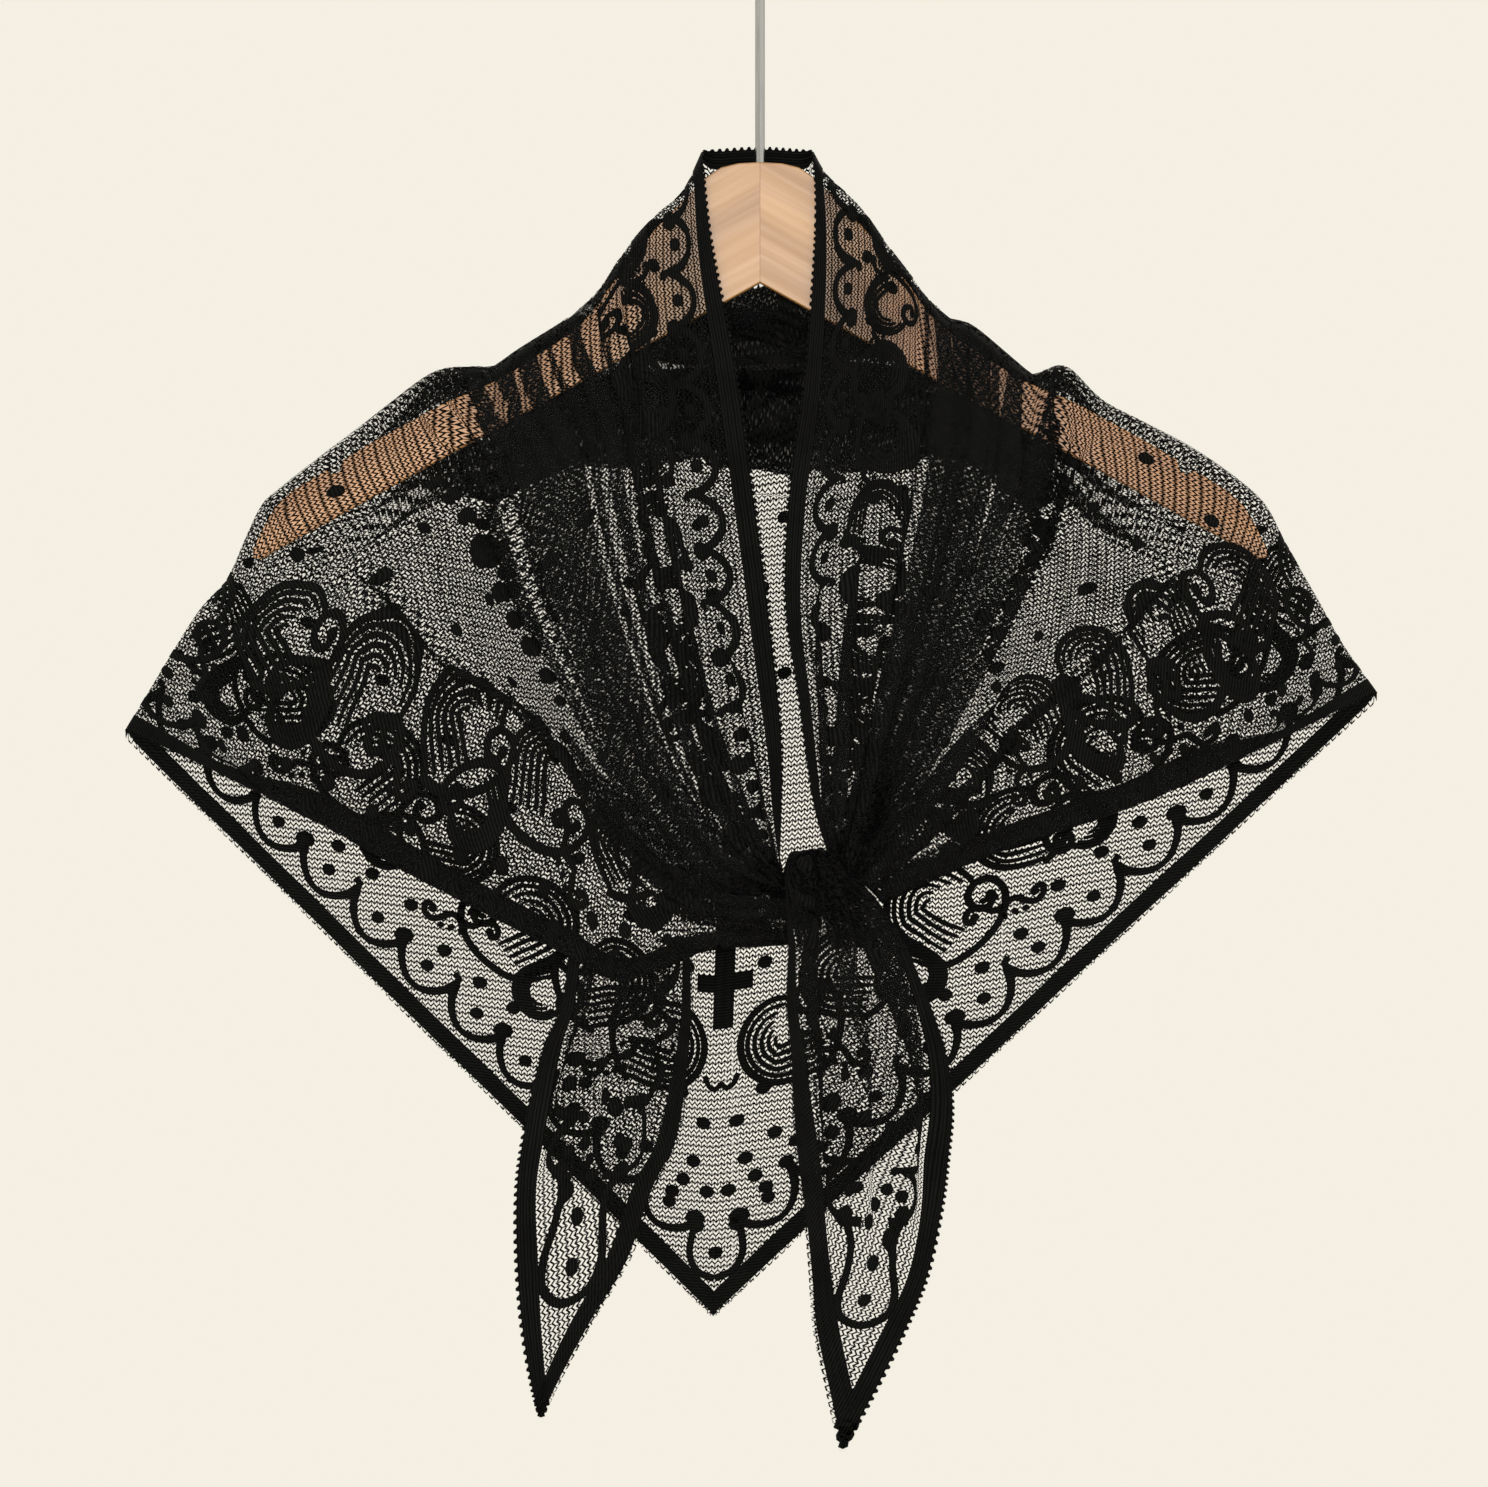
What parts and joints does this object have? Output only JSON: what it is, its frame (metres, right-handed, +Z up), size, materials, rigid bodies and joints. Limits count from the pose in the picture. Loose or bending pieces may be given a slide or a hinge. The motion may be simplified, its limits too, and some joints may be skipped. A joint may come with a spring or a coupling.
{
  "type": "lace shawl on a wooden hanger",
  "caption": "Triangular black lace shawl draped over a flat wooden hanger, tied in front with pointed ends hanging and the back point below.",
  "frame": {"origin": "inner top of the hook, where a rail carries the hanger", "axes": "+Z up, front towards -Y, +X to the right as seen from the front"},
  "size_m": [0.5144, 0.049, 0.6476],
  "materials": {
    "lace": "matt black net lace with denser knitted motifs and bands",
    "wood": "pale clear-lacquered wood",
    "steel": "plain steel wire"
  },
  "bodies": {
    "root": {"shawl_back": "lace", "shawl_front_left": "lace", "shawl_front_right": "lace", "shawl_knot": "lace", "shawl_tail_left": "lace", "shawl_tail_right": "lace", "hanger_wood": "wood", "hanger_hook": "steel"}
  },
  "joints": []
}
